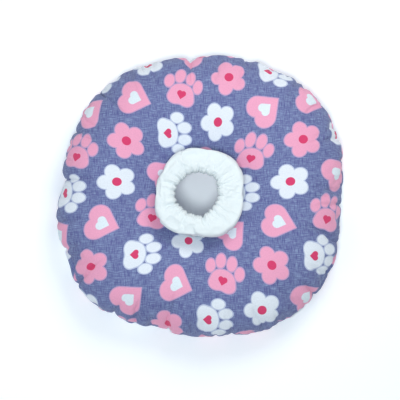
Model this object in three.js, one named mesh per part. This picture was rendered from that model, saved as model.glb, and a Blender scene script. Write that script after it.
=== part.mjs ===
// A soft recovery collar for a cat, lying on its underside: a stuffed ring of two printed cotton
// panels round the neck opening, and a doubled white cuff that an elastic draws in.
// Millimetres, +Z up. The origin is on the surface that it lies on, at the middle of its footprint.
import * as THREE from "three";

// Sizes of the stuffed ring
const collarWidth = 300;
const collarDepth = 294;
const ringThickness = 60;
const rimSeamHeight = 26;
const neckSeamHeight = 34;
const neckSeamRadius = 40;
const underPress = 6; // how far the underside is pressed flat by its own weight
const clothWall = 1.2;

// Sizes of the cuff and its elastic
const cuffOverhang = 6.5; // the cuff's bulge past the neck seam
const cuffStand = 14; // the cuff's top above the ring's crown
const cuffTuck = 6; // the cuff's sewn edge below the neck seam
const cuffWall = 1.2;
const cuffSlit = 0.8; // between the two layers at their sewn edge
const mouthRadius = 23.6;
const mouthShiftX = -2.8; // the mouth's middle beside the neck's axis, as the cuff lies
const mouthShiftY = -1.2;
const gatherPuff = 2.4; // how far the cloth stands out between two gathers
const elasticWidth = 5;
const elasticThickness = 1.2;

// Clearances
const sewnGap = 0.3;
const stuffingGap = 0.4;
const cuffRestGap = 0.5; // the cuff over the ring's inner slope

// Section shapes: 2 is an ellipse, more is squarer
const topFullness = 2.2;
const underFullness = 2.2;

// Mesh fineness
const turnSteps = 76;
const hiddenTurnSteps = 48;
const topSteps = 8;
const underSteps = 6;
const slopeSteps = 2;
const topCrowding = 0.15; // of the stations by the seams
const underCrowding = 0.5;

// The outline from above: how far the rim reaches at each turn, as a share of the half size there.
const outline = [
  { turn: 0, reach: 0.990 },
  { turn: 15, reach: 1.042 },
  { turn: 30, reach: 1.067 },
  { turn: 45, reach: 1.074 },
  { turn: 60, reach: 1.046 },
  { turn: 75, reach: 1.022 },
  { turn: 90, reach: 0.997 },
  { turn: 105, reach: 1.000 },
  { turn: 120, reach: 1.020 },
  { turn: 135, reach: 1.022 },
  { turn: 150, reach: 1.000 },
  { turn: 165, reach: 0.976 },
  { turn: 178, reach: 0.970 },
  { turn: 190, reach: 1.014 },
  { turn: 205, reach: 1.026 },
  { turn: 220, reach: 1.062 },
  { turn: 235, reach: 1.038 },
  { turn: 250, reach: 0.990 },
  { turn: 265, reach: 0.990 },
  { turn: 280, reach: 1.014 },
  { turn: 300, reach: 1.062 },
  { turn: 315, reach: 1.067 },
  { turn: 330, reach: 1.052 },
  { turn: 345, reach: 1.010 },
];

// The creases that the sewing pulls into the rim. Width is in degrees, depth a share of the ring's thickness.
const rimCreases = [
  { turn: 11, width: 16, depth: 0.030 },
  { turn: 58, width: 14, depth: 0.018 },
  { turn: 92, width: 14, depth: 0.022 },
  { turn: 127, width: 12, depth: 0.016 },
  { turn: 151, width: 13, depth: 0.020 },
  { turn: 175, width: 13, depth: 0.040 },
  { turn: 207, width: 15, depth: 0.038 },
  { turn: 236, width: 13, depth: 0.024 },
  { turn: 253, width: 15, depth: 0.045 },
  { turn: 283, width: 13, depth: 0.022 },
  { turn: 302, width: 12, depth: 0.020 },
  { turn: 328, width: 15, depth: 0.030 },
  { turn: 350, width: 12, depth: 0.018 },
];

// Broad dents in the top. Out runs from the neck seam, 0, to the rim, 1; width is a share of that way.
const topDents = [
  { turn: 208, out: 0.16, width: 0.34, depth: 0.075 },
  { turn: 292, out: 0.14, width: 0.30, depth: 0.050 },
  { turn: 84, out: 0.12, width: 0.26, depth: 0.035 },
  { turn: 350, out: 0.82, width: 0.30, depth: 0.040 },
  { turn: 128, out: 0.84, width: 0.34, depth: 0.035 },
  { turn: 248, out: 0.84, width: 0.32, depth: 0.050 },
];

// The cuff's outline from above, as a share of its bulge's radius.
const cuffOutline = [
  { turn: 0, reach: 0.930 },
  { turn: 20, reach: 1.012 },
  { turn: 38, reach: 1.040 },
  { turn: 60, reach: 1.004 },
  { turn: 80, reach: 0.982 },
  { turn: 112, reach: 1.030 },
  { turn: 140, reach: 1.002 },
  { turn: 165, reach: 0.952 },
  { turn: 182, reach: 0.958 },
  { turn: 212, reach: 1.048 },
  { turn: 235, reach: 1.012 },
  { turn: 260, reach: 0.945 },
  { turn: 282, reach: 0.996 },
  { turn: 305, reach: 1.034 },
  { turn: 330, reach: 0.996 },
];

// The cuff's outside from the ring's slope over its top to the mouth. Out runs from the mouth, 0, to
// the bulge, 1; up from the slope, 0, to the top, 1. Lobe and puff are shares of those two shapes, and
// hold is how much of the puff the inner face leaves to the outer one, where the elastic holds it.
const cuffOutside = [
  { out: 0.98, up: 0.20, lobe: 0.3, puff: 0.0, hold: 0 },
  { out: 1.00, up: 0.40, lobe: 0.9, puff: 0.1, hold: 0 },
  { out: 0.95, up: 0.62, lobe: 1.0, puff: 0.4, hold: 0 },
  { out: 0.80, up: 0.82, lobe: 0.7, puff: 0.8, hold: 0 },
  { out: 0.56, up: 0.94, lobe: 0.4, puff: 1.0, hold: 0 },
  { out: 0.32, up: 0.92, lobe: 0.2, puff: 1.0, hold: 0 },
  { out: 0.13, up: 0.82, lobe: 0.0, puff: 0.9, hold: 0.5 },
  { out: 0.00, up: 0.64, lobe: 0.0, puff: 0.75, hold: 1 },
  { out: 0.00, up: 0.42, lobe: 0.0, puff: 0.65, hold: 1 },
];

// The cuff's lining from the mouth down to its sewn edge. Out runs from the mouth, 0, to the sewn
// edge, 1; up from the sewn edge, 0, to the cuff's top, 1.
const cuffLining = [
  { out: 0.20, up: 0.58, puff: 0.4, hold: 1 },
  { out: 0.70, up: 0.44, puff: 0.2, hold: 0 },
  { out: 1.00, up: 0.22, puff: 0.0, hold: 0 },
];

// The gathers that run out from the mouth. Width is in degrees, depth a share of the cloth's puff,
// and length how far out each one runs, 1 at the bulge.
const gathers = [
  { turn: 16, width: 15, depth: 0.9, length: 0.80 },
  { turn: 33, width: 16, depth: 1.0, length: 0.95 },
  { turn: 50, width: 16, depth: 0.9, length: 0.75 },
  { turn: 66, width: 13, depth: 0.7, length: 0.35 },
  { turn: 86, width: 15, depth: 1.0, length: 0.45 },
  { turn: 102, width: 13, depth: 0.7, length: 0.35 },
  { turn: 121, width: 17, depth: 1.0, length: 0.80 },
  { turn: 144, width: 16, depth: 0.9, length: 0.60 },
  { turn: 159, width: 13, depth: 0.8, length: 0.55 },
  { turn: 173, width: 16, depth: 1.0, length: 0.85 },
  { turn: 189, width: 13, depth: 0.7, length: 0.40 },
  { turn: 204, width: 14, depth: 0.9, length: 0.60 },
  { turn: 217, width: 16, depth: 1.0, length: 0.90 },
  { turn: 233, width: 14, depth: 0.8, length: 0.45 },
  { turn: 249, width: 18, depth: 1.0, length: 0.85 },
  { turn: 267, width: 13, depth: 0.7, length: 0.40 },
  { turn: 282, width: 17, depth: 1.0, length: 0.70 },
  { turn: 300, width: 14, depth: 0.8, length: 0.50 },
  { turn: 315, width: 17, depth: 1.0, length: 0.90 },
  { turn: 331, width: 13, depth: 0.7, length: 0.45 },
  { turn: 353, width: 17, depth: 0.9, length: 0.75 },
];

const lerp = THREE.MathUtils.lerp;
const fullTurn = 360;

// The value at a turn of a table's reach column, smooth all the way round.
function reachAt(rows, turn) {
  const place = THREE.MathUtils.euclideanModulo(turn - rows[0].turn, fullTurn) + rows[0].turn;
  let at = rows.length - 1;
  while (rows[at].turn > place) at -= 1;
  const [before, here, next, after] = [-1, 0, 1, 2].map((step) => {
    const lap = Math.floor((at + step) / rows.length);
    const row = rows[at + step - lap * rows.length];
    return { turn: row.turn + lap * fullTurn, reach: row.reach };
  });
  const span = next.turn - here.turn;
  const t = (place - here.turn) / span;
  const leave = (span * (next.reach - before.reach)) / (next.turn - before.turn);
  const arrive = (span * (after.reach - here.reach)) / (after.turn - here.turn);
  const ease = t * t * (3 - 2 * t);
  return (
    lerp(here.reach, next.reach, ease) +
    t * (1 - t) * (1 - t) * leave -
    t * t * (1 - t) * arrive
  );
}

// How much of a crease or gather is met at a turn: 1 in its middle, 0 from its edges on.
function creaseShare(row, turn) {
  const half = fullTurn / 2;
  const away = Math.abs(THREE.MathUtils.euclideanModulo(turn - row.turn + half, fullTurn) - half);
  return away < row.width / 2 ? (1 + Math.cos((2 * Math.PI * away) / row.width)) / 2 : 0;
}

// The rim's distance from the neck's axis, before the creases.
function rimRadius(turn) {
  const along = Math.cos(THREE.MathUtils.degToRad(turn)) ** 2;
  return reachAt(outline, turn) * lerp(collarDepth / 2, collarWidth / 2, along);
}

function rimCrease(turn) {
  const depths = rimCreases.map((row) => row.depth * creaseShare(row, turn));
  return ringThickness * Math.max(...depths);
}

// How far the dents lower the top at a place given by its turn and its way out from the neck seam.
function topDent(turn, out) {
  return topDents.reduce((sum, row) => {
    const side = 2 * Math.sin(THREE.MathUtils.degToRad(turn - row.turn) / 2);
    const across = (side * lerp(neckSeamRadius, collarWidth / 2, out)) / (collarWidth / 2 - neckSeamRadius);
    const away = Math.hypot(across, out - row.out) / row.width;
    return sum + row.depth * ringThickness * Math.exp(-2 * away * away);
  }, 0);
}

// A point of the ring's skin. Along runs from the rim seam, 0, to the neck seam, 1.
function ringSkin(turn, above, along) {
  const fullness = above ? topFullness : underFullness;
  const angle = Math.PI * along;
  const across = Math.sign(Math.cos(angle)) * Math.abs(Math.cos(angle)) ** (2 / fullness);
  const bulge = Math.abs(Math.sin(angle)) ** (2 / fullness);
  const half = (rimRadius(turn) - neckSeamRadius) / 2;
  const out = (across + 1) / 2;
  const seamHeight = lerp(neckSeamHeight, rimSeamHeight, out);
  const middleSeamHeight = (neckSeamHeight + rimSeamHeight) / 2;
  const crease = rimCrease(turn) * Math.max(0, across) ** 3;
  const radius = neckSeamRadius + half * (1 + across) - crease;
  const height = above
    ? seamHeight + (ringThickness - middleSeamHeight) * bulge - topDent(turn, out) * bulge
    : Math.max(0, seamHeight - (middleSeamHeight + underPress) * bulge);
  return new THREE.Vector2(radius, height);
}

// The same point moved into the ring by a depth, square to the skin.
function ringLayer(turn, above, along, depth) {
  const step = 0.002;
  const from = ringSkin(turn, above, Math.max(0, along - step));
  const to = ringSkin(turn, above, Math.min(1, along + step));
  const run = to.sub(from).normalize();
  const inward = above ? new THREE.Vector2(-run.y, run.x) : new THREE.Vector2(run.y, -run.x);
  return ringSkin(turn, above, along).addScaledVector(inward, depth);
}

function evenShares(steps) {
  return Array.from({ length: steps + 1 }, (_, step) => step / steps);
}

// The stations from the rim seam to the neck seam, closer together by the seams.
function stations(steps, crowding) {
  return evenShares(steps).map(
    (share) => share - (crowding * Math.sin(2 * Math.PI * share)) / (2 * Math.PI),
  );
}

// A cotton panel's section: its outer face from rim to neck, and its inner face back.
function panelSection(turn, above) {
  const clear = new THREE.Vector2(0, above ? sewnGap / 2 : -sewnGap / 2);
  const ways = above ? stations(topSteps, topCrowding) : stations(underSteps, underCrowding);
  const face = ways.map((along) => ringLayer(turn, above, along, 0));
  const back = ways.map((along) => ringLayer(turn, above, along, clothWall)).reverse();
  const ends = [0, ways.length - 1, ways.length, 2 * ways.length - 1];
  const section = [...face, ...back];
  ends.forEach((end) => section[end].add(clear));
  return above ? section : section.reverse();
}

// The stuffing's section: all round, inside both panels and clear of the deepest crease.
function stuffingSection(turn) {
  const depth = clothWall + stuffingGap;
  const deepest = ringThickness * Math.max(...rimCreases.map((row) => row.depth));
  const top = stations(topSteps, topCrowding).map((along) => ringLayer(turn, true, along, depth));
  const under = stations(underSteps, underCrowding).map((along) => ringLayer(turn, false, along, depth));
  const section = [...top, ...under.slice(1, -1).reverse()];
  const middle = (rimRadius(turn) + neckSeamRadius) / 2;
  return section.map((point) => {
    const share = Math.max(0, (point.x - middle) / (rimRadius(turn) - middle));
    const shy = (deepest - rimCrease(turn)) * share ** 3;
    return new THREE.Vector2(point.x - shy, point.y);
  });
}

// How far the cloth stands out at a turn, between the gathers that still run at a way out.
function gatherShare(turn, out) {
  const depths = gathers.map((row) => {
    const left = THREE.MathUtils.clamp((row.length - out) / row.length, 0, 1);
    return row.depth * creaseShare(row, turn) * Math.sqrt(left);
  });
  return 1 - Math.max(...depths);
}

// The mouth's distance from the neck's axis at a turn.
function mouthReach(turn) {
  const angle = THREE.MathUtils.degToRad(turn);
  return mouthRadius + mouthShiftX * Math.cos(angle) + mouthShiftY * Math.sin(angle);
}

// The turn's cuff: the sewn edge, the way up the ring's slope, over the top, and down the lining.
function cuffFace(turn) {
  const sewnHeight = neckSeamHeight - cuffTuck;
  const sewnRadius = neckSeamRadius - sewnGap;
  const liningRadius = sewnRadius - 2 * cuffWall - cuffSlit;
  const bulgeRadius = neckSeamRadius + cuffOverhang;
  const topHeight = ringThickness + cuffStand;
  const mouth = mouthReach(turn);
  const slopeEnd = slopeEndAlong(turn, bulgeRadius - cuffOverhang / 2);
  const slope = evenShares(slopeSteps).map((way) => {
    const point = ringLayer(turn, true, lerp(1, slopeEnd, way), -cuffRestGap);
    return { radius: point.x, height: point.y, puff: 0, hold: 0, out: 1 };
  });
  const slopeHeight = slope[slopeSteps].height;
  const lobe = reachAt(cuffOutline, turn);
  const outside = cuffOutside.map((row) => ({
    radius: lerp(mouth, bulgeRadius, row.out) * lerp(1, lobe, row.lobe),
    height: lerp(slopeHeight, topHeight, row.up),
    puff: row.puff,
    hold: row.hold,
    out: row.out,
  }));
  const lining = cuffLining.map((row) => ({
    radius: lerp(mouth, liningRadius, row.out),
    height: lerp(sewnHeight, topHeight, row.up),
    puff: row.puff,
    hold: row.hold,
    out: row.out,
  }));
  return [
    { radius: sewnRadius, height: sewnHeight, puff: 0, hold: 0, out: 1 },
    { radius: sewnRadius, height: neckSeamHeight, puff: 0, hold: 0, out: 1 },
    ...slope.slice(1),
    ...outside,
    ...lining,
    { radius: liningRadius, height: sewnHeight, puff: 0, hold: 0, out: 1 },
  ];
}

// How far along the ring's top, from the rim, its inner slope has a given radius.
function slopeEndAlong(turn, radius) {
  let [outer, inner] = [0.5, 1];
  for (let halving = 0; halving < 20; halving += 1) {
    const middle = (outer + inner) / 2;
    if (ringSkin(turn, true, middle).x > radius) outer = middle;
    else inner = middle;
  }
  return inner;
}

// The cuff's section: its face with the cloth standing out between the gathers, and its back.
function cuffSection(turn) {
  const face = cuffFace(turn);
  const last = face.length - 1;
  const line = face.map((row) => new THREE.Vector2(row.radius, row.height));
  const outward = line.map((_, at) => {
    const run = line[Math.min(last, at + 1)].clone().sub(line[Math.max(0, at - 1)]).normalize();
    return new THREE.Vector2(run.y, -run.x);
  });
  outward[0].set(1, 0);
  outward[last].set(-1, 0);
  const stands = face.map((row) => gatherPuff * row.puff * gatherShare(turn, row.out));
  const front = line.map((point, at) => point.clone().addScaledVector(outward[at], stands[at]));
  const back = line.map((point, at) => {
    const follow = stands[at] * (1 - face[at].hold);
    return point.clone().addScaledVector(outward[at], follow - cuffWall);
  });
  return [...front, ...back.reverse()];
}

// The elastic stands in the fold at the cuff's mouth.
function elasticSection(turn) {
  const radius = mouthReach(turn) + cuffWall + sewnGap;
  const foldEnds = cuffFace(turn).filter((row) => row.hold === 1 && row.out === 0);
  const middle = (foldEnds[0].height + foldEnds[1].height) / 2;
  return [
    new THREE.Vector2(radius, middle - elasticWidth / 2),
    new THREE.Vector2(radius + elasticThickness, middle - elasticWidth / 2),
    new THREE.Vector2(radius + elasticThickness, middle + elasticWidth / 2),
    new THREE.Vector2(radius, middle + elasticWidth / 2),
  ];
}

function turnsOf(steps) {
  return Array.from({ length: steps }, (_, step) => (fullTurn * step) / steps);
}

// A closed ring whose section at each turn is a closed loop of radius and height.
function ringSolid(steps, sectionAt) {
  const sections = turnsOf(steps).map((turn) => ({ turn, loop: sectionAt(turn) }));
  const count = sections[0].loop.length;
  const positions = sections.flatMap(({ turn, loop }) => {
    const angle = THREE.MathUtils.degToRad(turn);
    return loop.flatMap((point) => [point.x * Math.cos(angle), point.x * Math.sin(angle), point.y]);
  });
  const index = [];
  for (let step = 0; step < steps; step += 1) {
    for (let side = 0; side < count; side += 1) {
      const here = step * count;
      const next = ((step + 1) % steps) * count;
      const beside = (side + 1) % count;
      index.push(here + side, next + side, next + beside);
      index.push(here + side, next + beside, here + beside);
    }
  }
  const geometry = new THREE.BufferGeometry();
  geometry.setAttribute("position", new THREE.Float32BufferAttribute(positions, 3));
  geometry.setIndex(index);
  geometry.computeVertexNormals();
  return geometry;
}

const printedCotton = new THREE.MeshStandardMaterial({ color: 0x7484b4, roughness: 0.9, metalness: 0 });
const whiteCotton = new THREE.MeshStandardMaterial({ color: 0xecf6fa, roughness: 0.9, metalness: 0 });
const stuffingWhite = new THREE.MeshStandardMaterial({ color: 0xf4f4f0, roughness: 1, metalness: 0 });
const elasticWhite = new THREE.MeshStandardMaterial({ color: 0xe8e8e4, roughness: 0.7, metalness: 0 });

function piece(name, geometry, material) {
  const mesh = new THREE.Mesh(geometry, material);
  mesh.name = name;
  return mesh;
}

const collar = new THREE.Group();
collar.add(
  piece("top_panel", ringSolid(turnSteps, (turn) => panelSection(turn, true)), printedCotton),
  piece("under_panel", ringSolid(turnSteps, (turn) => panelSection(turn, false)), printedCotton),
  piece("stuffing", ringSolid(hiddenTurnSteps, stuffingSection), stuffingWhite),
  piece("neck_cuff", ringSolid(turnSteps, cuffSection), whiteCotton),
  piece("cuff_elastic", ringSolid(hiddenTurnSteps, elasticSection), elasticWhite),
);

// Centre the footprint on the origin.
const footprint = new THREE.Box3().setFromObject(collar).getCenter(new THREE.Vector3());
collar.position.set(-footprint.x, -footprint.y, 0);

export default collar;
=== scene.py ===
"""The looks of a soft cat recovery collar: its stuffed printed ring and its gathered white cuff.

Metres, in the part's frame: +Z up out of the neck opening, +Y away from a person who looks down
at it.
"""

import math

import bpy
import numpy as np
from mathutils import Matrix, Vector, noise


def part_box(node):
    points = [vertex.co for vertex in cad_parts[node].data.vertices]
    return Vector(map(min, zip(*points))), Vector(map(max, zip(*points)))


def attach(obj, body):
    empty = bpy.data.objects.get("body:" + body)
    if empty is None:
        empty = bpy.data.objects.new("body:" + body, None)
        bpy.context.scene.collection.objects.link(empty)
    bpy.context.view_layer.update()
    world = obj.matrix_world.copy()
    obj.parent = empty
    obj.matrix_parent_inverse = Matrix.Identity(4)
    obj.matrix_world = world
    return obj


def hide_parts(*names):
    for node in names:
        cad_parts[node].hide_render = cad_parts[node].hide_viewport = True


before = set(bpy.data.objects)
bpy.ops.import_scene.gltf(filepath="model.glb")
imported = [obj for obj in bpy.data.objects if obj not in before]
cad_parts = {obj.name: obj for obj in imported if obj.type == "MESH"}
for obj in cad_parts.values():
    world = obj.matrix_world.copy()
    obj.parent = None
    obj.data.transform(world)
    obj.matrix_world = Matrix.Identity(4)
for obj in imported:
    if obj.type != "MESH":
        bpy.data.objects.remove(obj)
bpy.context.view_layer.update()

# The collar's sizes, as the part has them
COLLAR_WIDTH, COLLAR_DEPTH = 0.300, 0.294
RING_THICKNESS = 0.060
RIM_SEAM_HEIGHT, NECK_SEAM_HEIGHT = 0.026, 0.034
NECK_SEAM_RADIUS = 0.040
UNDER_PRESS = 0.006
TOP_FULLNESS, UNDER_FULLNESS = 2.2, 2.2
CUFF_OVERHANG, CUFF_STAND, CUFF_TUCK = 0.0065, 0.014, 0.006
CUFF_WALL, CUFF_SLIT = 0.0012, 0.0008
MOUTH_RADIUS = 0.0236
MOUTH_SHIFT = (-0.0028, -0.0012)
SEWN_GAP, CUFF_REST_GAP = 0.0003, 0.0005

# How far the cuff's cloth stands out between two gathers
GATHER_PUFF = 0.0026

# The ring's outline: turn in degrees, reach as a share of the half size there
OUTLINE = [
    (0, 0.990), (15, 1.042), (30, 1.067), (45, 1.074), (60, 1.046), (75, 1.022),
    (90, 0.997), (105, 1.000), (120, 1.020), (135, 1.022), (150, 1.000), (165, 0.976),
    (178, 0.970), (190, 1.014), (205, 1.026), (220, 1.062), (235, 1.038), (250, 0.990),
    (265, 0.990), (280, 1.014), (300, 1.062), (315, 1.067), (330, 1.052), (345, 1.010),
]
# Broad creases in the rim: turn and width in degrees, depth as a share of the ring's thickness
RIM_CREASES = [
    (11, 16, 0.030), (58, 14, 0.018), (92, 14, 0.022), (127, 12, 0.016), (151, 13, 0.020),
    (175, 13, 0.040), (207, 15, 0.038), (236, 13, 0.024), (253, 15, 0.045), (283, 13, 0.022),
    (302, 12, 0.020), (328, 15, 0.030), (350, 12, 0.018),
]
# Broad dents in the top: turn, way out from the neck seam to the rim, width as a share of that
# way, depth as a share of the ring's thickness
TOP_DENTS = [
    (208, 0.16, 0.34, 0.075), (292, 0.14, 0.30, 0.050), (84, 0.12, 0.26, 0.035),
    (350, 0.82, 0.30, 0.040), (128, 0.84, 0.34, 0.035), (248, 0.84, 0.32, 0.050),
]
# The cuff's outline from above: turn, reach as a share of the bulge's radius
CUFF_OUTLINE = [
    (0, 0.934), (20, 1.006), (38, 1.036), (60, 0.990), (80, 0.974), (112, 1.024),
    (140, 0.984), (165, 0.966), (182, 0.958), (212, 1.082), (235, 1.030), (260, 0.960),
    (282, 1.010), (305, 1.060), (330, 1.016),
]
# The mouth's outline: turn, reach as a share of the mouth's radius
MOUTH_OUTLINE = [
    (0, 0.985), (20, 1.000), (42, 1.085), (62, 1.030), (90, 0.985), (118, 0.970),
    (140, 0.915), (162, 0.960), (188, 1.020), (212, 0.945), (235, 0.960), (256, 0.975),
    (276, 1.035), (294, 0.975), (316, 0.955), (340, 0.985),
]
# The cuff's outside from the ring's slope to inside the mouth: how far out from the mouth to the
# bulge, how far up from the slope to the top, how much of the outline and of the puff it has
CUFF_OUTSIDE = [
    (0.89, 0.20, 0.8, 0.0), (0.92, 0.46, 1.0, 0.1), (0.94, 0.72, 1.0, 0.4),
    (0.85, 0.90, 0.9, 0.8), (0.59, 0.97, 0.5, 1.0), (0.33, 0.98, 0.2, 1.0),
    (0.11, 0.94, 0.0, 1.0), (0.00, 0.83, 0.0, 1.0), (0.00, 0.52, 0.0, 0.7),
]
# Its lining from the mouth down: out from the mouth to the sewn edge, up from that edge, puff
CUFF_LINING = [(0.20, 0.58, 0.4), (0.70, 0.44, 0.2), (1.00, 0.22, 0.0)]
# The cuff's gathers: turn and width in degrees, depth as a share of the puff, length as a share of
# the way from the mouth to the bulge
GATHERS = [
    (18, 14, 0.8, 0.75), (34, 15, 0.8, 0.95), (51, 15, 0.8, 0.80), (71, 11, 0.8, 0.25),
    (92, 11, 0.9, 0.28), (109, 11, 0.5, 0.25), (125, 16, 0.9, 0.75), (147, 13, 0.9, 0.50),
    (164, 14, 1.0, 0.65), (177, 12, 0.8, 0.60), (191, 11, 0.6, 0.35), (204, 13, 1.6, 0.60),
    (213, 14, 0.9, 0.95), (227, 12, 0.6, 0.40), (241, 14, 0.9, 0.60), (259, 13, 0.6, 0.35),
    (278, 12, 1.4, 0.45), (293, 12, 0.7, 0.50), (307, 15, 0.9, 0.95), (322, 13, 0.7, 0.60),
    (337, 12, 0.6, 0.40), (351, 15, 0.9, 0.65),
]

# Mesh fineness, and how finely the ring's inner slope is looked up
RING_TURNS, TOP_WAYS, UNDER_WAYS = 440, 32, 22
CUFF_TURNS, CUFF_WAYS, SLOPE_STEPS = 360, 66, 2
RIM_FINENESS = 0.72
SLOPE_LOOKUPS, SLOPE_REACH = 400, 0.002
TINY = 1e-9

# Small relief that the stuffing and the sewing give
LUMP_DEPTH, LUMP_SIZE = 0.0011, 0.045
SMALL_LUMP_DEPTH, SMALL_LUMP_SIZE = 0.5, 0.4  # as shares of the large ones
LUMPLESS_BY_SEAM = 0.02
RIM_GROOVE_DEPTH, RIM_GROOVE_WIDTH = 0.0020, 0.0024

# Drawn folds: how many, how unevenly they are spread, then from and to which half width in
# degrees, depth and length
RIM_PUCKERS = (72, 0.35, (1.6, 3.4), (0.0004, 0.0018), (0.008, 0.030))
NECK_PUCKERS = (40, 0.35, (3.5, 7.0), (0.0002, 0.0012), (0.008, 0.028))
CUFF_PUCKERS = (38, 0.35, (3.0, 6.5), (0.0006, 0.0026), (0.012, 0.026))
CUFF_PUCKER_START = 0.003
SMALL_GATHERS = (2 * len(GATHERS), 0.3, (5, 8), (0.25, 0.6), (0.12, 0.35))
GATHER_SHARPNESS = 0.62
# Placed puckers of the rim: turn and half width in degrees, depth and length in metres
RIM_NOTCHES = [
    (27, 3.0, 0.0026, 0.030), (46, 2.6, 0.0016, 0.024), (69, 3.0, 0.0032, 0.034),
    (94, 3.0, 0.0036, 0.036), (112, 2.6, 0.0018, 0.024), (132, 2.8, 0.0020, 0.030),
    (153, 2.8, 0.0022, 0.028), (173.5, 3.2, 0.0040, 0.040), (202, 3.2, 0.0034, 0.034),
    (216, 2.8, 0.0026, 0.030), (234, 3.0, 0.0032, 0.034), (249, 2.8, 0.0028, 0.030),
    (257, 2.6, 0.0024, 0.026), (283, 2.8, 0.0020, 0.028), (302, 2.8, 0.0024, 0.030),
    (319, 3.2, 0.0036, 0.040), (341, 2.8, 0.0020, 0.028), (356, 2.8, 0.0020, 0.026),
]
# Where the rim seam rolls up onto the top: turn and width in degrees, way along the top
SEAM_ROLLS = [(209, 10, 0.11), (331, 11, 0.04), (84, 12, 0.03)]
SEED = 7

# How the cloth settles: steps of time, how finely each is worked out, how far a point may move
SETTLE_STEPS, SETTLE_QUALITY = 20, 6
RING_MOST_MOVE, CUFF_MOST_MOVE = 0.006, 0.003
# The ring's cloth is slack up to a reach from the rim. It is held fast this near the neck seam
# and the floor, and less firmly in a band at the rim.
RIM_SLACK_REACH = 0.055
SEAM_EDGE, FLOOR_EDGE = 0.001, 0.0015
RIM_HOLD, RIM_HOLD_WIDTH = 0.6, 0.004
# The cuff's cloth is slackest by the mouth and less so on the way out. It is held fast where it
# has next to no puff, and less firmly in a band at the mouth.
CUFF_SLACK_AT_MOUTH, CUFF_SLACK_FALL = 1.25, 0.7
PUFF_OF_FULL_SLACK, PUFF_OF_FREE_CLOTH = 0.25, 0.02
MOUTH_HOLD, MOUTH_HOLD_REACH = 0.5, 0.08

# How each cloth behaves. Its least shrinking is the share by which it is cut wider where it has
# slack.
PRINTED_CLOTH = {
    "mass": 0.001, "tension_stiffness": 30, "compression_stiffness": 20, "shear_stiffness": 8,
    "bending_stiffness": 0.01, "uniform_pressure_force": 60.0, "shrink_min": -0.13,
}
WHITE_CLOTH = {
    "mass": 0.0002, "tension_stiffness": 20, "compression_stiffness": 12, "shear_stiffness": 5,
    "bending_stiffness": 0.8, "uniform_pressure_force": 60.0, "shrink_min": -0.065,
}

# Where each panel's neck opening lies on the flat cloth
TOP_CLOTH_CENTRE, UNDER_CLOTH_CENTRE = (0.25, 0.25), (0.75, 0.25)

# The print: a motif in each cell of a turned grid whose odd columns stand half a cell higher. The
# motifs are drawn in units of 1.08 mm, with centres and half sizes as (across, up).
PRINT_TURN, PRINT_SHIFT = math.radians(14), (0.38, 0.12, 0)
CELL_MM, MOTIF_UNIT_MM = 49.0, 1.08
KINDS, KINDS_PER_ROW, TURN_PER_KIND = 6.0, 2.0, 1.9
PAW_PAD = ((0, -5.5), (12.6, 9.8))
PAW_HEEL = ((6.4, -10.4), (7.6, 6.2))
PAW_TOES = [((15.4, 4.6), (4.9, 6.6)), ((5.9, 12.2), (5.1, 7.2))]
PAD_SOFTNESS = 3.0
PETAL, FLOWER_CORE = ((10.6, 0), (7.9, 7.2)), 7.0
FLOWER_DOT = ((0, 0), (4.6, 4.6))
HEART_WIDTH, INNER_HEART_WIDTH, PAW_HEART_WIDTH = 35.0, 14.0, 9.5
PAW_HEART_AT = (0, -6.8, 0)
PRINT_RIM, PRINT_SOFTNESS = 0.9, 0.25
# A heart whose notch is one unit over its point: its width, its middle's height, and each lobe
HEART_SPAN, HEART_MIDDLE = 1.207, 0.55
LOBE_OUT, LOBE_UP, LOBE_RADIUS = 0.25, 0.75, 0.354

# Colours as they show, in 255ths
CHAMBRAY = ((102, 111, 159), (113, 123, 169))
PALE_THREAD = (145, 162, 199)
DARK_THREADS = ((63, 83, 137), (95, 78, 143))
PINK_AND_WHITE = ((237, 165, 196), (227, 234, 244))
RIMS_OF_PRINT = ((196, 160, 200), (190, 200, 226))
CRIMSON_AND_WHITE = ((216, 66, 112), (224, 236, 245))
WHITE_COTTON = ((224, 234, 238), (232, 240, 243))
ELASTIC = ((206, 206, 200), (240, 240, 236))

# The chambray's threads: noise scales along and across a thread, from and to which noise they
# show, and how much of the cloth the pale and the dark ones take
ALONG_THREAD, ACROSS_THREAD, THREAD_ROUGHNESS = 110, 1250, 0.6
THREAD_FROM, THREAD_TO = 0.46, 0.66
PALE_SHARE, DARK_SHARE = 0.95, 0.80
THREAD_TINT_SCALE, CHAMBRAY_CLOUD_SCALE, WHITE_CLOUD_SCALE = 260, 22.0, 60.0
# How unevenly the print takes: noise scale, noise from and to, brightness from and to
INK_SCALE, INK_WEAR = 700, (0.3, 0.7, 0.94, 1.04)
# Relief of each cloth: the weave's pitch and strength, then its fine unevenness as scale,
# strength and depth
WEAVE_DEPTH = 0.0002
PRINTED_RELIEF = ((0.0008, 0.35), (180.0, 0.25, 0.0008))
WHITE_RELIEF = ((0.0009, 0.3), (260.0, 0.3, 0.0007))
WHITE_TRANSLUCENCE = {
    "Subsurface Weight": 0.15, "Subsurface Radius": (1.0, 0.95, 0.9), "Subsurface Scale": 0.003,
}
# Ribs of the elastic
RIB_SCALE, RIB_DISTORTION = 400.0, 0.5

# The floor and the studio's light
FLOOR_HALF = 3.0
FLOOR_FINISH = {
    "Base Color": (0.96, 0.98, 1.0, 1), "Emission Color": (0.72, 0.88, 1.0, 1),
    "Emission Strength": 0.12, "Roughness": 0.9, "Specular IOR Level": 0.1,
}
SKY_COLOUR, SKY_STRENGTH = (0.91, 0.96, 1.0, 1), 0.285
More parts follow.
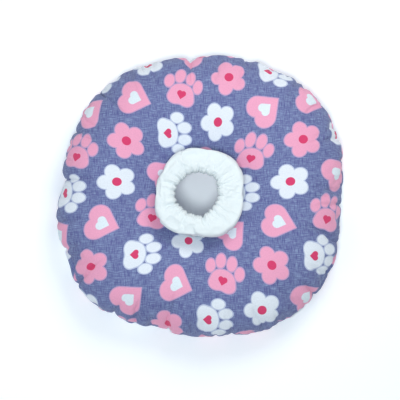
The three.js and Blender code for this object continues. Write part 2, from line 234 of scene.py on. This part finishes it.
# name, place, size, power, colour
LIGHTS = [
    ("overhead", (-0.08, -0.30, 1.5), 0.36, 10.3, (0.89, 0.97, 1.0)),
    ("key", (0.20, 0.42, 0.62), 0.40, 2.5, (1.0, 0.98, 0.95)),
    ("fill", (-0.48, -0.26, 0.62), 0.50, 0.85, (0.95, 0.97, 1.0)),
]

# The camera looks almost straight down
CAMERA_ELEVATION, CAMERA_DISTANCE = 86.0, 1.2
FRAME_WIDTH, SENSOR = 0.417, 36.0
NEAREST_SEEN = 0.01
LOOK_AT = Vector((0.0004, -0.0047, 0.027))

elastic_low, elastic_high = (np.array(corner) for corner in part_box("cuff_elastic"))
NECK_AXIS = (elastic_low + elastic_high) / 2 - np.array([*MOUTH_SHIFT, 0])


def cubic_weights(places, at):
    """How much each of the rows at `places` counts at `at`, for a smooth line through them all."""
    last = len(places) - 1
    weights = np.zeros((len(at), len(places)))
    for line, place in enumerate(at):
        here = min(last - 1, max(0, int(np.searchsorted(places, place, side="right")) - 1))
        span = places[here + 1] - places[here]
        t = (place - places[here]) / span
        before, after = max(0, here - 1), min(last, here + 2)
        leave = t * (1 - t) ** 2 * span / (places[here + 1] - places[before])
        arrive = t**2 * (1 - t) * span / (places[after] - places[here])
        ease = t * t * (3 - 2 * t)
        weights[line, here] += 1 - ease
        weights[line, here + 1] += ease
        weights[line, here + 1] += leave
        weights[line, before] -= leave
        weights[line, after] -= arrive
        weights[line, here] += arrive
    return weights


def reach_at(rows, turns):
    """A table's reach at each turn, smooth all the way round."""
    laps = [(turn + lap, reach) for lap in (-360, 0, 360) for turn, reach in rows]
    places = np.array([turn for turn, _ in laps], dtype=float)
    return cubic_weights(places, turns % 360) @ np.array([reach for _, reach in laps])


def turn_gap(turns, turn):
    """How far each turn is from another one, in degrees."""
    return np.abs((turns - turn + 180) % 360 - 180)


def even_turns(steps):
    """Turns in degrees, spread evenly all the way round."""
    return np.arange(steps) * 360.0 / steps


def rim_radius(turns):
    """How far the rim is from the neck's axis at each turn."""
    along = np.cos(np.radians(turns)) ** 2
    return reach_at(OUTLINE, turns) * (COLLAR_DEPTH / 2 * (1 - along) + COLLAR_WIDTH / 2 * along)


def ring_skin(turns, along, above):
    """Radius and height of the ring's skin, where along runs from the rim seam, 0, to the neck, 1."""
    turns, along = np.asarray(turns, dtype=float)[:, None], np.atleast_2d(along)
    fullness = TOP_FULLNESS if above else UNDER_FULLNESS
    cosine, sine = np.cos(math.pi * along), np.abs(np.sin(math.pi * along))
    across = np.sign(cosine) * np.abs(cosine) ** (2 / fullness)
    bulge = sine ** (2 / fullness)
    rim = rim_radius(turns[:, 0])[:, None]
    half = (rim - NECK_SEAM_RADIUS) / 2
    out = (across + 1) / 2
    seam_height = NECK_SEAM_HEIGHT * (1 - out) + RIM_SEAM_HEIGHT * out
    middle_height = (NECK_SEAM_HEIGHT + RIM_SEAM_HEIGHT) / 2
    crease = np.zeros_like(turns)
    for turn, width, depth in RIM_CREASES:
        near = np.clip(turn_gap(turns, turn) / width, 0, 0.5)
        crease = np.maximum(crease, depth * RING_THICKNESS * (1 + np.cos(2 * math.pi * near)) / 2)
    radius = NECK_SEAM_RADIUS + half * (1 + across) - crease * np.maximum(0, across) ** 3
    if not above:
        height = seam_height - (middle_height + UNDER_PRESS) * bulge
        return radius, np.broadcast_to(np.maximum(0, height), radius.shape)
    dent = 0
    for turn, way, width, depth in TOP_DENTS:
        side = 2 * np.sin(np.radians(turns - turn) / 2)
        wide = NECK_SEAM_RADIUS * (1 - out) + COLLAR_WIDTH / 2 * out
        away = np.hypot(side * wide / (COLLAR_WIDTH / 2 - NECK_SEAM_RADIUS), out - way) / width
        dent = dent + depth * RING_THICKNESS * np.exp(-2 * away * away)
    return radius, seam_height + (RING_THICKNESS - middle_height - dent) * bulge


def seam_side(turns, along):
    """The ring's skin where along is above 0 on its top and below 0 on its underside."""
    top_r, top_z = ring_skin(turns, np.abs(along), True)
    under_r, under_z = ring_skin(turns, np.abs(along), False)
    return np.where(along > 0, top_r, under_r), np.where(along > 0, top_z, under_z)


def ways_from_rim(count):
    """Shares from the rim, 0, to the neck, 1, that lie closer together by the rim."""
    even = np.linspace(0, 1, count + 1)
    return even * (1 - RIM_FINENESS * (1 - even) ** 2)


def seam_roll(turns):
    """How far along the top the rim seam lies at each turn."""
    roll = np.zeros(len(turns))
    for turn, width, way in SEAM_ROLLS:
        roll += way * np.exp(-2 * (turn_gap(turns, turn) / width) ** 2)
    return roll[:, None]


def section_normals(radius, height, closed):
    """The unit normals of each turn's section, on the left of the way that its points run."""
    if closed:
        run_r = np.roll(radius, -1, axis=1) - np.roll(radius, 1, axis=1)
        run_z = np.roll(height, -1, axis=1) - np.roll(height, 1, axis=1)
    else:
        run_r, run_z = np.gradient(radius, axis=1), np.gradient(height, axis=1)
    length = np.hypot(run_r, run_z)
    return -run_z / length, run_r / length


def spin(turns, radius, height):
    """Points round the neck's axis."""
    angle = np.radians(turns)[:, None]
    x = NECK_AXIS[0] + radius * np.cos(angle)
    y = NECK_AXIS[1] + radius * np.sin(angle)
    return np.stack([x, y, height], axis=-1)


def grid_piece(name, points, uv_of_face, open_last=False):
    """A mesh on a grid of turns by ways that closes round the neck, and across its ways too unless
    its last way is open. uv_of_face gives the places on the flat cloth of a face's corners.
    """
    turns, ways = points.shape[:2]
    strips = ways - 1 if open_last else ways
    faces, coordinates = [], []
    for turn in range(turns):
        for way in range(strips):
            corners = [(turn, way), (turn, way + 1), (turn + 1, way + 1), (turn + 1, way)]
            faces.append([(t % turns) * ways + w % ways for t, w in corners])
            coordinates.extend(uv_of_face(corners))
    mesh = bpy.data.meshes.new(name)
    mesh.from_pydata(points.reshape(-1, 3).tolist(), [], faces)
    layer = mesh.uv_layers.new(name="cloth")
    layer.data.foreach_set("uv", np.array(coordinates, dtype=np.float32).ravel())
    mesh.shade_smooth()
    piece = bpy.data.objects.new(name, mesh)
    bpy.context.scene.collection.objects.link(piece)
    return piece


def points_of(mesh):
    """The mesh's points, a row for each."""
    points = np.empty(len(mesh.vertices) * 3)
    mesh.vertices.foreach_get("co", points)
    return points.reshape(-1, 3)


def settle(piece, held, wide, behaviour, most):
    """Lets the cloth settle under pressure from inside, and moves no point further than most.

    held says how firmly each point keeps its place, and wide how much of the cloth's slack it has.
    """
    start = points_of(piece.data)
    for name, weights in (("held", held), ("close", 1 - wide)):
        group = piece.vertex_groups.new(name=name)
        for place, weight in enumerate(weights):
            if weight > 0:
                group.add([place], float(weight), "REPLACE")
    cloth = piece.modifiers.new("cloth", "CLOTH")
    settings = cloth.settings
    settings.quality = SETTLE_QUALITY
    settings.effector_weights.gravity = 0
    settings.vertex_group_mass = "held"
    settings.vertex_group_shrink = "close"
    settings.use_pressure = True
    for setting, value in behaviour.items():
        setattr(settings, setting, value)
    cloth.point_cache.frame_start = 1
    cloth.point_cache.frame_end = SETTLE_STEPS
    for step in range(1, SETTLE_STEPS + 1):
        bpy.context.scene.frame_set(step)
    settled = piece.evaluated_get(bpy.context.evaluated_depsgraph_get())
    move = points_of(settled.data) - start
    length = np.linalg.norm(move, axis=1)
    move *= np.minimum(1, most / np.maximum(length, TINY))[:, None]
    piece.modifiers.remove(cloth)
    bpy.context.scene.frame_set(1)
    piece.data.vertices.foreach_set("co", (start + move).ravel())
    piece.data.update()


def drawn_folds(count, uneven, widths, depths, lengths, draw):
    """Rows of turn, half width, depth and length, spread unevenly round a seam."""
    rows = []
    for step in range(count):
        turn = (step + draw.uniform(-uneven, uneven)) * 360 / count
        rows.append((turn, draw.uniform(*widths), draw.uniform(*depths), draw.uniform(*lengths)))
    return rows


def pucker_field(turns, reach, rows):
    """How deep the folds that run from a seam are, where reach is each point's way from the seam."""
    field = np.zeros_like(reach)
    for turn, width, depth, length in rows:
        side = np.clip(turn_gap(turns, turn) / width, 0, 1)[:, None]
        fade = np.clip(1 - reach / length, 0, 1) ** 1.5
        field = np.maximum(field, depth * (1 - side) ** 2 * fade)
    return field


def ring_lumps(points):
    """How the stuffing stands out, large lumps with small ones on them."""
    lumps = [
        noise.noise(Vector(point) / LUMP_SIZE)
        + SMALL_LUMP_DEPTH * noise.noise(Vector(point) / (SMALL_LUMP_SIZE * LUMP_SIZE))
        for point in points.reshape(-1, 3)
    ]
    return np.array(lumps).reshape(points.shape[:2])


def make_ring():
    """The stuffed ring, its ways running from the neck over the top to the rim and back below."""
    draw = np.random.default_rng(SEED)
    turns = even_turns(RING_TURNS)
    roll = seam_roll(turns)
    top_r, top_z = seam_side(turns, roll + (1 - roll) * ways_from_rim(TOP_WAYS)[::-1])
    under_r, under_z = seam_side(turns, roll - (1 + roll) * ways_from_rim(UNDER_WAYS))
    top_cut = NECK_SEAM_RADIUS + arc_from_start(top_r, top_z)
    under_cut = NECK_SEAM_RADIUS + arc_from_start(under_r[:, ::-1], under_z[:, ::-1])[:, ::-1]
    radius = np.concatenate([top_r[:, :-1], under_r[:, :-1]], axis=1)
    height = np.concatenate([top_z[:, :-1], under_z[:, :-1]], axis=1)
    normal_r, normal_z = section_normals(radius, height, closed=True)

    from_rim = np.concatenate([
        top_cut[:, -1:] - top_cut[:, :-1],
        under_cut[:, :1] - under_cut[:, :-1],
    ], axis=1)
    from_neck = np.concatenate([
        top_cut[:, :-1] - NECK_SEAM_RADIUS,
        under_cut[:, :-1] - NECK_SEAM_RADIUS,
    ], axis=1)
    groove = RIM_GROOVE_DEPTH * np.exp(-((from_rim / RIM_GROOVE_WIDTH) ** 2))
    rim_rows = RIM_NOTCHES + drawn_folds(*RIM_PUCKERS, draw)
    neck_rows = drawn_folds(*NECK_PUCKERS, draw)
    puckers = pucker_field(turns, from_rim, rim_rows) + pucker_field(turns, from_neck, neck_rows)
    lumps = ring_lumps(spin(turns, radius, height))
    by_rim = np.clip(from_rim / LUMPLESS_BY_SEAM, 0, 1)
    by_neck = np.clip(from_neck / LUMPLESS_BY_SEAM, 0, 1)
    lift = LUMP_DEPTH * lumps * (by_rim * by_neck) - groove - puckers
    radius, height = radius + normal_r * lift, np.maximum(0, height + normal_z * lift)

    def cloth_place(side_cut, turn, way, centre):
        """Where a point lies on its panel cut flat."""
        angle = math.radians(360 * turn / RING_TURNS)
        reach = side_cut[turn % RING_TURNS, way]
        return centre[0] + reach * math.cos(angle), centre[1] + reach * math.sin(angle)

    def uv_of_face(corners):
        if corners[0][1] < TOP_WAYS:
            side_cut, first, centre = top_cut, 0, TOP_CLOTH_CENTRE
        else:
            side_cut, first, centre = under_cut, TOP_WAYS, UNDER_CLOTH_CENTRE
        return [cloth_place(side_cut, turn, way - first, centre) for turn, way in corners]

    ring = grid_piece("printed_ring", spin(turns, radius, height), uv_of_face)
    wide = np.clip(1 - from_rim / RIM_SLACK_REACH, 0, 1)
    held_by_rim = np.exp(-((from_rim / RIM_HOLD_WIDTH) ** 2)) * RIM_HOLD
    held = np.where(from_neck < SEAM_EDGE, 1.0, held_by_rim)
    held = np.where(height < FLOOR_EDGE, 1.0, held)
    settle(ring, held.ravel(), wide.ravel(), PRINTED_CLOTH, RING_MOST_MOVE)
    settled = points_of(ring.data)
    settled[:, 2] = np.maximum(settled[:, 2], 0)
    ring.data.vertices.foreach_set("co", settled.ravel())
    return ring


def arc_from_start(radius, height):
    """The cloth's length from the first way on, at each turn."""
    steps = np.hypot(np.diff(radius, axis=1), np.diff(height, axis=1))
    return np.concatenate([np.zeros((len(radius), 1)), np.cumsum(steps, axis=1)], axis=1)


def slope_end(turns, radius):
    """How far along the ring's top, from the rim, its inner slope has a given radius."""
    along = np.linspace(0.5, 1, SLOPE_LOOKUPS)
    skin, _ = ring_skin(turns, along, True)
    return along[np.argmin(np.abs(skin - radius), axis=1)]


def mouth_reach(turns):
    """How far the cuff's mouth is from the neck's axis at each turn."""
    angle = np.radians(turns)
    shift = MOUTH_SHIFT[0] * np.cos(angle) + MOUTH_SHIFT[1] * np.sin(angle)
    return MOUTH_RADIUS * reach_at(MOUTH_OUTLINE, turns) + shift


def cuff_line(turns):
    """The cuff's line at each turn, before its gathers: radius, height, puff and way out.

    The last value is the place along it where the cuff leaves the ring's slope.
    """
    sewn_height = NECK_SEAM_HEIGHT - CUFF_TUCK
    sewn_radius = NECK_SEAM_RADIUS - SEWN_GAP
    lining_radius = sewn_radius - 2 * CUFF_WALL - CUFF_SLIT
    bulge_radius = NECK_SEAM_RADIUS + CUFF_OVERHANG
    top_height = RING_THICKNESS + CUFF_STAND
    ends = slope_end(turns, bulge_radius - CUFF_OVERHANG / 2)
    count = len(turns)
    rows = [(sewn_radius, sewn_height, 0, 1), (sewn_radius, NECK_SEAM_HEIGHT, 0, 1)]
    columns = [[np.full(count, value) for value in row] for row in rows]
    for step in range(1, SLOPE_STEPS + 1):
        along = 1 + (ends - 1) * step / SLOPE_STEPS
        radius, height = np.empty(count), np.empty(count)
        for place, turn in enumerate(turns):
            near = [along[place] - SLOPE_REACH, along[place], along[place] + SLOPE_REACH]
            skin_r, skin_z = ring_skin([turn], near, True)
            run = np.array([skin_r[0, 2] - skin_r[0, 0], skin_z[0, 2] - skin_z[0, 0]])
            run /= np.linalg.norm(run)
            radius[place] = skin_r[0, 1] + run[1] * CUFF_REST_GAP
            height[place] = skin_z[0, 1] - run[0] * CUFF_REST_GAP
        columns.append([radius, height, np.zeros(count), np.ones(count)])
    slope_height = columns[-1][1]
    lobe_reach = reach_at(CUFF_OUTLINE, turns)
    mouth = mouth_reach(turns)
    for out, up, lobe, puff in CUFF_OUTSIDE:
        radius = (mouth + (bulge_radius - mouth) * out) * (1 + (lobe_reach - 1) * lobe)
        height = slope_height + (top_height - slope_height) * up
        columns.append([radius, height, np.full(count, puff), np.full(count, out)])
    for out, up, puff in CUFF_LINING:
        radius = mouth + (lining_radius - mouth) * out
        height = np.full(count, sewn_height + (top_height - sewn_height) * up)
        columns.append([radius, height, np.full(count, puff), np.full(count, out)])
    columns.append([np.full(count, value) for value in (lining_radius, sewn_height, 0, 1)])
    table = np.array(columns)
    last = len(table) - 1
    weights = cubic_weights(np.arange(len(table), dtype=float), np.linspace(0, last, CUFF_WAYS))
    line = [weights.dot(table[:, kind]).T for kind in range(4)]
    return *line, (SLOPE_STEPS + 1) * (CUFF_WAYS - 1) // last


def gather_share(turns, out, draw):
    """How far the cloth is let out between the gathers, from 0 in one to 1."""
    depth = np.zeros_like(out)
    for turn, width, most, length in GATHERS + drawn_folds(*SMALL_GATHERS, draw):
        side = np.clip(turn_gap(turns, turn) / (width * GATHER_SHARPNESS), 0, 1)[:, None]
        fade = np.sqrt(np.clip((length - out) / length, 0, 1))
        depth = np.maximum(depth, most * (1 - side) ** 2 * fade)
    return 1 - depth


def make_cuff():
    """The gathered cuff, its ways running from its sewn edge up over the mouth and down inside."""
    draw = np.random.default_rng(SEED + 1)
    turns = even_turns(CUFF_TURNS)
    radius, height, puff, out, foot = cuff_line(turns)
    normal_r, normal_z = section_normals(radius, height, closed=False)
    lift = -GATHER_PUFF * np.clip(puff, 0, 1) * gather_share(turns, np.clip(out, 0, 1), draw)
    along = arc_from_start(radius, height)
    from_foot = along - along[:, [foot]]
    puckers = pucker_field(turns, from_foot, drawn_folds(*CUFF_PUCKERS, draw))
    lift -= puckers * np.clip(from_foot / CUFF_PUCKER_START, 0, 1)
    radius, height = radius + normal_r * lift, height + normal_z * lift
    cut = arc_from_start(radius, height)
    round_cloth = 2 * math.pi * (NECK_SEAM_RADIUS + CUFF_OVERHANG)

    def uv_of_face(corners):
        return [
            (turn / CUFF_TURNS * round_cloth, cut[turn % CUFF_TURNS, way])
            for turn, way in corners
        ]

    cuff = grid_piece("gathered_cuff", spin(turns, radius, height), uv_of_face, open_last=True)
    by_mouth = np.clip(CUFF_SLACK_AT_MOUTH - CUFF_SLACK_FALL * out, 0, 1)
    wide = by_mouth * np.clip(puff / PUFF_OF_FULL_SLACK, 0, 1)
    held = np.where(puff < PUFF_OF_FREE_CLOTH, 1.0, 0.0)
    held = np.maximum(held, MOUTH_HOLD * np.clip(1 - out / MOUTH_HOLD_REACH, 0, 1))
    settle(cuff, held.ravel(), wide.ravel(), WHITE_CLOTH, CUFF_MOST_MOVE)
    return cuff


def linear(colour):
    """A colour given as it shows, in 255ths, as the shader takes it: the sRGB curve undone."""
    shares = [value / 255 for value in colour]
    return [s / 12.92 if s <= 0.04045 else ((s + 0.055) / 1.055) ** 2.4 for s in shares] + [1.0]


class Shading:
    """Builds a material's nodes: each call adds one and returns its output."""

    def __init__(self, name):
        self.material = bpy.data.materials.new(name)
        self.material.use_nodes = True
        self.tree = self.material.node_tree
        self.shader = self.tree.nodes["Principled BSDF"]

    def add(self, kind, inputs=(), output=0, **settings):
        """A node with its inputs, by name, by number or in a row, and its settings."""
        node = self.tree.nodes.new(kind)
        for setting, value in settings.items():
            setattr(node, setting, value)
        for place, value in (inputs.items() if isinstance(inputs, dict) else enumerate(inputs)):
            self.put(node.inputs[place], value)
        return node.outputs[output]

    def put(self, socket, value):
        """Joins an output to the socket, or sets a constant on it."""
        if isinstance(value, bpy.types.NodeSocket):
            self.tree.links.new(value, socket)
        else:
            socket.default_value = value

    def math(self, operation, *values):
        return self.add("ShaderNodeMath", values, operation=operation)

    def vector(self, operation, *values, output=0):
        return self.add("ShaderNodeVectorMath", values, output=output, operation=operation)

    def blend(self, share, first, second):
        """The first colour at share 0 and the second at 1."""
        colours = {0: share, 6: first, 7: second}
        return self.add("ShaderNodeMix", colours, output=2, data_type="RGBA")

    def choose(self, share, first, second):
        """The first number at share 0 and the second at 1."""
        return self.add("ShaderNodeMix", {0: share, 2: first, 3: second}, data_type="FLOAT")

    def spread(self, value, low, high, least, most):
        """A value between low and high, as one between least and most."""
        return self.add("ShaderNodeMapRange", (value, low, high, least, most))

    def within(self, distance):
        """1 inside a shape and 0 outside it, soft at its edge."""
        return self.add(
            "ShaderNodeMapRange",
            (distance, PRINT_SOFTNESS, -PRINT_SOFTNESS, 0.0, 1.0),
            interpolation_type="SMOOTHSTEP",
        )

    def noise(self, place, scale, detail=2.0, roughness=0.5):
        return self.add(
            "ShaderNodeTexNoise",
            {"Vector": place, "Scale": scale, "Detail": detail, "Roughness": roughness},
        )

    def flat_noise(self, place, across, up, roughness=0.5):
        """Noise on the flat cloth, with a scale for each of its ways."""
        stretched = self.vector("MULTIPLY", place, (across, up, 0))
        return self.noise(stretched, 1.0, roughness=roughness)

    def parts(self, vector):
        """The outputs of a vector's three parts."""
        return self.add("ShaderNodeSeparateXYZ", (vector,)).node.outputs

    def plane(self, x, y):
        """A place from its two coordinates."""
        return self.add("ShaderNodeCombineXYZ", (x, y, 0.0))

    def turn(self, vector, angle, centre=(0, 0, 0)):
        """A place turned about a centre."""
        inputs = {"Vector": vector, "Center": centre, "Angle": angle}
        return self.add("ShaderNodeVectorRotate", inputs, rotation_type="Z_AXIS")

    def tones(self, share, pair):
        """The first shown colour of a pair at share 0 and the second at 1."""
        return self.blend(share, linear(pair[0]), linear(pair[1]))

    def set(self, values):
        """Gives inputs of the shader itself their values, by name."""
        for name, value in values.items():
            self.put(self.shader.inputs[name], value)

    def finish(self, colour, roughness, sheen):
        """A cloth's colour and how it takes light."""
        self.set({
            "Base Color": colour, "Roughness": roughness, "Specular IOR Level": 0.2,
            "Sheen Weight": sheen, "Sheen Roughness": 0.5,
        })


def oval(shading, place, centre, radii):
    """The distance from an oval's edge, negative inside it."""
    stretch = (1 / radii[0], 1 / radii[1], 0)
    shift = (-centre[0] / radii[0], -centre[1] / radii[1], 0)
    scaled = shading.vector("MULTIPLY_ADD", place, stretch, shift)
    length = shading.vector("LENGTH", scaled, output=1)
    return shading.math("MULTIPLY_ADD", length, min(radii), -min(radii))


def paw(shading, place):
    """A pad with a softly joined lobe at each side, and two toes on each side."""
    distance = oval(shading, place, *PAW_PAD)
    for side in (-1, 1):
        (out, up), radii = PAW_HEEL
        heel = oval(shading, place, (side * out, up), radii)
        distance = shading.math("SMOOTH_MIN", distance, heel, PAD_SOFTNESS)
        for (out, up), radii in PAW_TOES:
            toe = oval(shading, place, (side * out, up), radii)
            distance = shading.math("MINIMUM", distance, toe)
    return distance


def flower(shading, place):
    """Five round petals, each drawn in its own fifth of the turn, on a round core."""
    parts = shading.parts(place)
    angle = shading.math("ARCTAN2", parts[1], parts[0])
    fifth = 2 * math.pi / 5
    angle = shading.math("SUBTRACT", shading.math("FLOORED_MODULO", angle, fifth), fifth / 2)
    reach = shading.vector("LENGTH", place, output=1)
    x = shading.math("MULTIPLY", reach, shading.math("COSINE", angle))
    y = shading.math("MULTIPLY", reach, shading.math("SINE", angle))
    petal = oval(shading, shading.plane(x, y), *PETAL)
    return shading.math("MINIMUM", petal, shading.math("SUBTRACT", reach, FLOWER_CORE))


def heart(shading, place, width):
    """A square on its corner with a round lobe on each of its upper sides."""
    unit = width / HEART_SPAN
    parts = shading.parts(place)
    side = shading.math("ABSOLUTE", parts[0])
    up = shading.math("ADD", parts[1], HEART_MIDDLE * unit)
    half = shading.plane(side, up)
    radius = LOBE_RADIUS * unit
    lobe = oval(shading, half, (LOBE_OUT * unit, LOBE_UP * unit), (radius, radius))
    slope = shading.math("SUBTRACT", side, up)
    top = shading.math("SUBTRACT", shading.math("ADD", side, up), unit)
    square = shading.math("MULTIPLY", shading.math("MAXIMUM", slope, top), math.sqrt(0.5))
    return shading.math("MINIMUM", lobe, square)


def chambray(shading, cloth):
    """Blue cotton woven from uneven light and dark threads."""
    across = shading.flat_noise(cloth, ALONG_THREAD, ACROSS_THREAD, THREAD_ROUGHNESS)
    along = shading.flat_noise(cloth, ACROSS_THREAD, ALONG_THREAD, THREAD_ROUGHNESS)
    tint = shading.flat_noise(cloth, THREAD_TINT_SCALE, THREAD_TINT_SCALE)
    cloud = shading.noise(cloth, CHAMBRAY_CLOUD_SCALE)
    pale = shading.spread(across, THREAD_FROM, THREAD_TO, 0.0, PALE_SHARE)
    dark = shading.spread(along, THREAD_FROM, THREAD_TO, 0.0, DARK_SHARE)
    colour = shading.blend(pale, shading.tones(cloud, CHAMBRAY), linear(PALE_THREAD))
    return shading.blend(dark, colour, shading.tones(tint, DARK_THREADS))


def add_relief(shading, cloth, weave, fine):
    """The surface of a plain weave, with finer unevenness over it."""
    pitch, strength = weave
    waves = [
        shading.math("SINE", shading.math("MULTIPLY", part, 2 * math.pi / pitch))
        for part in shading.parts(cloth)[:2]
    ]
    threads = shading.math("MULTIPLY", *waves)
    bump = shading.add(
        "ShaderNodeBump",
        {"Strength": strength, "Distance": WEAVE_DEPTH, "Height": threads},
    )
    scale, strength, depth = fine
    soft = shading.noise(cloth, scale, 3.0)
    bump = shading.add(
        "ShaderNodeBump",
        {"Strength": strength, "Distance": depth, "Height": soft, "Normal": bump},
    )
    shading.set({"Normal": bump})


def print_cells(shading, cloth):
    """The place within its own motif, in the motif's units, and the number of its kind."""
    turned = shading.turn(cloth, PRINT_TURN, (*TOP_CLOTH_CENTRE, 0))
    per_cell = 1000 / CELL_MM
    cells = shading.vector("MULTIPLY_ADD", turned, (per_cell, per_cell, 0), PRINT_SHIFT)
    parts = shading.parts(cells)
    column = shading.math("FLOOR", parts[0])
    odd = shading.math("FLOORED_MODULO", column, 2.0)
    up = shading.math("MULTIPLY_ADD", odd, 0.5, parts[1])
    row = shading.math("FLOOR", up)
    x = shading.math("SUBTRACT", shading.math("FRACT", parts[0]), 0.5)
    y = shading.math("SUBTRACT", shading.math("FRACT", up), 0.5)
    cell_size = CELL_MM / MOTIF_UNIT_MM
    place = shading.vector("MULTIPLY", shading.plane(x, y), (cell_size, cell_size, 0))
    kind = shading.math("MULTIPLY_ADD", row, KINDS_PER_ROW, column)
    kind = shading.math("FLOORED_MODULO", kind, KINDS)
    quarter = shading.math("MULTIPLY", odd, math.pi / 2)
    angle = shading.math("MULTIPLY_ADD", kind, TURN_PER_KIND, quarter)
    return shading.turn(place, angle), kind


def printed_cotton():
    """Blue chambray printed with pink and white motifs, each with a small heart or dot in it."""
    shading = Shading("printed_cotton")
    cloth = shading.add("ShaderNodeUVMap", uv_map="cloth")
    place, kind = print_cells(shading, cloth)

    # The kinds are 0 to 5: 1 and 3 are flowers, 2 and 5 hearts, the others paws. 1 and 4 are white.
    # A comparison holds when its numbers differ by no more than the last one.
    third = shading.math("FLOORED_MODULO", kind, KINDS / 2)
    is_heart = shading.math("COMPARE", third, 2.0, 0.1)
    is_white = shading.math("COMPARE", third, 1.0, 0.1)
    is_flower = shading.math("COMPARE", kind, 2.0, 1.1)
    both = shading.math("MULTIPLY", is_flower, is_heart)
    is_flower = shading.math("SUBTRACT", is_flower, both)

    shape = shading.choose(is_flower, paw(shading, place), flower(shading, place))
    shape = shading.choose(is_heart, shape, heart(shading, place, HEART_WIDTH))
    paw_heart = heart(shading, shading.vector("SUBTRACT", place, PAW_HEART_AT), PAW_HEART_WIDTH)
    inner = shading.choose(is_heart, paw_heart, heart(shading, place, INNER_HEART_WIDTH))
    inner = shading.choose(is_flower, inner, oval(shading, place, *FLOWER_DOT))

    inside = shading.within(shape)
    with_rim = shading.within(shading.math("SUBTRACT", shape, PRINT_RIM))
    rim = shading.math("SUBTRACT", with_rim, inside)
    colour = chambray(shading, cloth)
    colour = shading.blend(rim, colour, shading.tones(is_white, RIMS_OF_PRINT))
    colour = shading.blend(inside, colour, shading.tones(is_white, PINK_AND_WHITE))
    detail = shading.tones(is_heart, CRIMSON_AND_WHITE)
    colour = shading.blend(shading.within(inner), colour, detail)
    wear = shading.spread(shading.flat_noise(cloth, INK_SCALE, INK_SCALE), *INK_WEAR)
    colour = shading.add("ShaderNodeVectorMath", {0: colour, 3: wear}, operation="SCALE")

    add_relief(shading, cloth, *PRINTED_RELIEF)
    shading.finish(colour, roughness=0.88, sheen=0.15)
    return shading.material


def white_cotton():
    """Fine white cotton that lets a little light through."""
    shading = Shading("white_cotton")
    cloth = shading.add("ShaderNodeUVMap", uv_map="cloth")
    cloud = shading.noise(cloth, WHITE_CLOUD_SCALE, 3.0)
    add_relief(shading, cloth, *WHITE_RELIEF)
    shading.finish(shading.tones(cloud, WHITE_COTTON), roughness=0.85, sheen=0.2)
    shading.set(WHITE_TRANSLUCENCE)
    return shading.material


def braided_elastic():
    """Flat elastic with fine ribs round it."""
    shading = Shading("braided_elastic")
    place = shading.add("ShaderNodeTexCoord").node.outputs["Object"]
    ribs = shading.add(
        "ShaderNodeTexWave",
        {"Vector": place, "Scale": RIB_SCALE, "Distortion": RIB_DISTORTION},
        output=1,
        bands_direction="Z",
    )
    shading.finish(shading.tones(ribs, ELASTIC), roughness=0.7, sheen=0.1)
    return shading.material


def plain_floor():
    shading = Shading("pale_floor")
    shading.set(FLOOR_FINISH)
    return shading.material


def dress(piece, material):
    """Gives the piece this material alone."""
    piece.data.materials.clear()
    piece.data.materials.append(material)


def softbox(name, place, size, power, colour):
    """A round soft light that faces the collar."""
    light = bpy.data.lights.new(name, "AREA")
    light.shape = "DISK"
    light.size = size
    light.energy = power
    light.color = colour
    lamp = bpy.data.objects.new(name, light)
    lamp.location = place
    lamp.rotation_euler = (LOOK_AT - Vector(place)).to_track_quat("-Z", "Y").to_euler()
    bpy.context.scene.collection.objects.link(lamp)


def make_studio():
    """The floor, the camera, the sky and the lights."""
    scene = bpy.context.scene
    floor_mesh = bpy.data.meshes.new("floor")
    corners = [
        (x * FLOOR_HALF, y * FLOOR_HALF, 0)
        for x, y in ((-1, -1), (1, -1), (1, 1), (-1, 1))
    ]
    floor_mesh.from_pydata(corners, [], [(0, 1, 2, 3)])
    floor = bpy.data.objects.new("floor", floor_mesh)
    scene.collection.objects.link(floor)
    dress(floor, plain_floor())

    camera_data = bpy.data.cameras.new("camera")
    camera_data.sensor_width = SENSOR
    camera_data.lens = SENSOR * CAMERA_DISTANCE / FRAME_WIDTH
    camera_data.clip_start = NEAREST_SEEN
    camera = bpy.data.objects.new("camera", camera_data)
    elevation = math.radians(CAMERA_ELEVATION)
    away = Vector((0, -math.cos(elevation), math.sin(elevation)))
    camera.location = LOOK_AT + CAMERA_DISTANCE * away
    camera.rotation_euler = (-away).to_track_quat("-Z", "Y").to_euler()
    scene.collection.objects.link(camera)
    scene.camera = camera

    world = bpy.data.worlds.new("studio")
    world.use_nodes = True
    sky = world.node_tree.nodes["Background"].inputs
    sky["Color"].default_value = SKY_COLOUR
    sky["Strength"].default_value = SKY_STRENGTH
    scene.world = world
    scene.view_settings.view_transform = "Standard"
    for light in LIGHTS:
        softbox(*light)


make_studio()

ring = make_ring()
dress(ring, printed_cotton())
ring.modifiers.new("smooth", "SUBSURF").levels = 1
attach(ring, "root")
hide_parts("top_panel", "under_panel", "stuffing")

cuff = make_cuff()
dress(cuff, white_cotton())
cuff.modifiers.new("smooth", "SUBSURF").levels = 1
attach(cuff, "root")
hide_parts("neck_cuff")

dress(bpy.data.objects["cuff_elastic"], braided_elastic())
